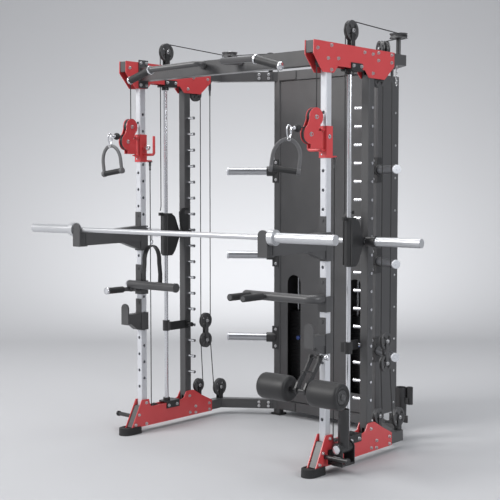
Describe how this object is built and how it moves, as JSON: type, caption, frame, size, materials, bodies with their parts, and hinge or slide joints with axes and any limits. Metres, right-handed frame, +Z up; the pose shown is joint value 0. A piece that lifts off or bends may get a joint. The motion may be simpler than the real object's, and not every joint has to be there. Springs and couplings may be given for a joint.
{
  "type": "smith machine",
  "caption": "Power rack with a guided counterbalanced bar, twin cable stations with enclosed weight stacks, pull-up bar, spotter arms and plate storage.",
  "frame": {"origin": "on the floor, under the middle of the whole machine's box", "axes": "+Z up, +Y to the rear where the weight stacks stand, +X to the right as seen from the front"},
  "size_m": [2.24, 1.677, 2.377],
  "materials": {
    "rubber": "matt black rubber",
    "red_coat": "satin red powder coat",
    "charcoal_coat": "fine textured charcoal powder coat",
    "black_coat": "satin black powder coat",
    "silver_coat": "satin silver plated steel",
    "chrome": "hard chrome",
    "zinc": "zinc plated",
    "sleeve_steel": "satin chrome steel",
    "cable_sheath": "black nylon sheath over steel wire",
    "pulley_plastic": "black moulded nylon",
    "foam": "black closed cell foam",
    "grip_rubber": "black ribbed rubber",
    "handle_plastic": "dark grey moulded plastic",
    "knob_blue": "dark blue plastic",
    "weight_steel": "black powder coat"
  },
  "bodies": {
    "root": {"rubber_feet": "rubber", "foot_side_plates": "red_coat", "top_side_plates": "red_coat", "side_rails": "charcoal_coat", "front_uprights": "silver_coat", "rear_uprights": "charcoal_coat", "rack_pins": "chrome", "rod_mounts": "black_coat", "guide_rods": "chrome", "rear_beams": "charcoal_coat", "rear_posts": "charcoal_coat", "shroud_front": "charcoal_coat", "shroud_back": "charcoal_coat", "weight_plates": "weight_steel", "storage_horns": "sleeve_steel", "horn_brackets": "black_coat", "frame_bolts": "zinc", "pull_up_beam": "charcoal_coat", "hand_grips": "grip_rubber", "pulley_brackets": "black_coat", "fixed_pulleys": "pulley_plastic", "spotter_arms": "charcoal_coat", "j_cups": "charcoal_coat", "dip_handles": "charcoal_coat", "leg_arm": "black_coat", "landmine_bracket": "black_coat", "band_pegs": "black_coat", "bar_holders": "black_coat", "cables": "cable_sheath"},
    "smith_carriage": {"smith_housings": "black_coat", "smith_bearings": "zinc"},
    "smith_bar": {"smith_shaft": "sleeve_steel", "smith_sleeves": "sleeve_steel", "smith_hooks": "black_coat"},
    "counterbalance_pulleys": {"counterbalance_pulleys": "pulley_plastic"},
    "counterweight": {"counterweight": "weight_steel"},
    "barbell": {"barbell_shaft": "sleeve_steel"},
    "foam_roller_inner": {"foam_roller_inner": "foam"},
    "foam_roller_outer": {"foam_roller_outer": "foam"},
    "landmine_sleeve": {"landmine_sleeve": "black_coat"},
    "safety_stop_right": {"safety_stop_right": "black_coat"},
    "carriage_right": {"carriage_sleeve_right": "red_coat"},
    "plunger_right": {"plunger_right": "chrome"},
    "pulley_head_right": {"head_plates_right": "red_coat", "head_pulleys_right": "pulley_plastic"},
    "pull_handle_right": {"pull_handle_right": "handle_plastic"},
    "stack_head_right": {"stack_head_right": "weight_steel"},
    "selector_pin_right": {"selector_pin_right": "knob_blue"},
    "floating_block_right": {"floating_block_right": "pulley_plastic"},
    "barbell_sleeve_right": {"barbell_sleeve_right": "sleeve_steel"},
    "safety_stop_left": {"safety_stop_left": "black_coat"},
    "carriage_left": {"carriage_sleeve_left": "red_coat"},
    "plunger_left": {"plunger_left": "chrome"},
    "pulley_head_left": {"head_plates_left": "red_coat", "head_pulleys_left": "pulley_plastic"},
    "pull_handle_left": {"pull_handle_left": "handle_plastic"},
    "stack_head_left": {"stack_head_left": "weight_steel"},
    "selector_pin_left": {"selector_pin_left": "knob_blue"},
    "floating_block_left": {"floating_block_left": "pulley_plastic"},
    "barbell_sleeve_left": {"barbell_sleeve_left": "sleeve_steel"}
  },
  "joints": [
    {"name": "smith_slide", "type": "slide", "parent": "root", "child": "smith_carriage", "axis": [0, 0, 1], "range_m": [-0.4, 0.7], "deforming": ["cables"]},
    {"name": "smith_turn", "type": "hinge", "parent": "smith_carriage", "child": "smith_bar", "pos_m": [0, -0.0045, 1.203], "axis": [1, 0, 0], "range_deg": [-26, 20]},
    {"name": "counterbalance_turn", "type": "hinge", "parent": "root", "child": "counterbalance_pulleys", "pos_m": [0, -0.1035, 2.322], "axis": [1, 0, 0], "range_deg": [-1300, 1300]},
    {"name": "counterweight_slide", "type": "slide", "parent": "root", "child": "counterweight", "axis": [0, 0, 1], "range_m": [-0.7, 0.4]},
    {"name": "safety_stop_slide_right", "type": "slide", "parent": "root", "child": "safety_stop_right", "axis": [0, 0, 1], "range_m": [-0.4, 0]},
    {"name": "carriage_slide_right", "type": "slide", "parent": "root", "child": "carriage_right", "axis": [0, 0, 1], "range_m": [-0.2, 0.1]},
    {"name": "plunger_pull_right", "type": "slide", "parent": "carriage_right", "child": "plunger_right", "axis": [-1, 0, 0], "range_m": [0, 0.012], "stiffness_N_per_m": 800, "springref_m": -0.002},
    {"name": "head_swivel_right", "type": "hinge", "parent": "carriage_right", "child": "pulley_head_right", "pos_m": [0.699, -0.3675, 1.728], "axis": [0, 0, 1], "range_deg": [-60, 60]},
    {"name": "handle_pull_right", "type": "slide", "parent": "pulley_head_right", "child": "pull_handle_right", "axis": [-0.1219, -0.9925, 0], "range_m": [0, 1.2]},
    {"name": "stack_lift_right", "type": "slide", "parent": "root", "child": "stack_head_right", "axis": [0, 0, 1], "range_m": [0, 1.2]},
    {"name": "selector_pull_right", "type": "slide", "parent": "stack_head_right", "child": "selector_pin_right", "axis": [0, -1, 0], "range_m": [0, 0.034]},
    {"name": "block_lift_right", "type": "slide", "parent": "root", "child": "floating_block_right", "axis": [0, 0, 1], "range_m": [0, 0.6]},
    {"name": "barbell_sleeve_spin_right", "type": "hinge", "parent": "barbell", "child": "barbell_sleeve_right", "pos_m": [0.9, -0.7995, 1.252], "axis": [1, 0, 0], "continuous": true},
    {"name": "safety_stop_slide_left", "type": "slide", "parent": "root", "child": "safety_stop_left", "axis": [0, 0, 1], "range_m": [-0.4, 0]},
    {"name": "carriage_slide_left", "type": "slide", "parent": "root", "child": "carriage_left", "axis": [0, 0, 1], "range_m": [-0.2, 0.1]},
    {"name": "plunger_pull_left", "type": "slide", "parent": "carriage_left", "child": "plunger_left", "axis": [1, 0, 0], "range_m": [0, 0.012], "stiffness_N_per_m": 800, "springref_m": -0.002},
    {"name": "head_swivel_left", "type": "hinge", "parent": "carriage_left", "child": "pulley_head_left", "pos_m": [-0.699, -0.3675, 1.728], "axis": [0, 0, 1], "range_deg": [-60, 60]},
    {"name": "handle_pull_left", "type": "slide", "parent": "pulley_head_left", "child": "pull_handle_left", "axis": [0.1219, -0.9925, 0], "range_m": [0, 1.2]},
    {"name": "stack_lift_left", "type": "slide", "parent": "root", "child": "stack_head_left", "axis": [0, 0, 1], "range_m": [0, 1.2]},
    {"name": "selector_pull_left", "type": "slide", "parent": "stack_head_left", "child": "selector_pin_left", "axis": [0, -1, 0], "range_m": [0, 0.034]},
    {"name": "block_lift_left", "type": "slide", "parent": "root", "child": "floating_block_left", "axis": [0, 0, 1], "range_m": [0, 0.6]},
    {"name": "barbell_sleeve_spin_left", "type": "hinge", "parent": "barbell", "child": "barbell_sleeve_left", "pos_m": [-0.9, -0.7995, 1.252], "axis": [1, 0, 0], "continuous": true},
    {"name": "barbell_lift", "type": "slide", "parent": "root", "child": "barbell", "axis": [0, 0, 1], "range_m": [0, 0.15]},
    {"name": "foam_roller_inner_spin", "type": "hinge", "parent": "root", "child": "foam_roller_inner", "pos_m": [0.539, -0.5155, 0.457], "axis": [1, 0, 0], "continuous": true},
    {"name": "foam_roller_outer_spin", "type": "hinge", "parent": "root", "child": "foam_roller_outer", "pos_m": [0.859, -0.5155, 0.457], "axis": [1, 0, 0], "continuous": true},
    {"name": "landmine_tilt", "type": "hinge", "parent": "root", "child": "landmine_sleeve", "pos_m": [0.79, -0.2775, 0.132], "axis": [0, 1, 0], "range_deg": [0, 85]}
  ],
  "couplings": [
    {"joint": "counterbalance_turn", "follows": "smith_slide", "rad_per_m": -20.833},
    {"joint": "counterweight_slide", "follows": "smith_slide", "ratio": -1},
    {"joint": "stack_lift_right", "follows": "handle_pull_right", "ratio": 1},
    {"joint": "block_lift_right", "follows": "handle_pull_right", "ratio": 0.5},
    {"joint": "stack_lift_left", "follows": "handle_pull_left", "ratio": 1},
    {"joint": "block_lift_left", "follows": "handle_pull_left", "ratio": 0.5}
  ]
}
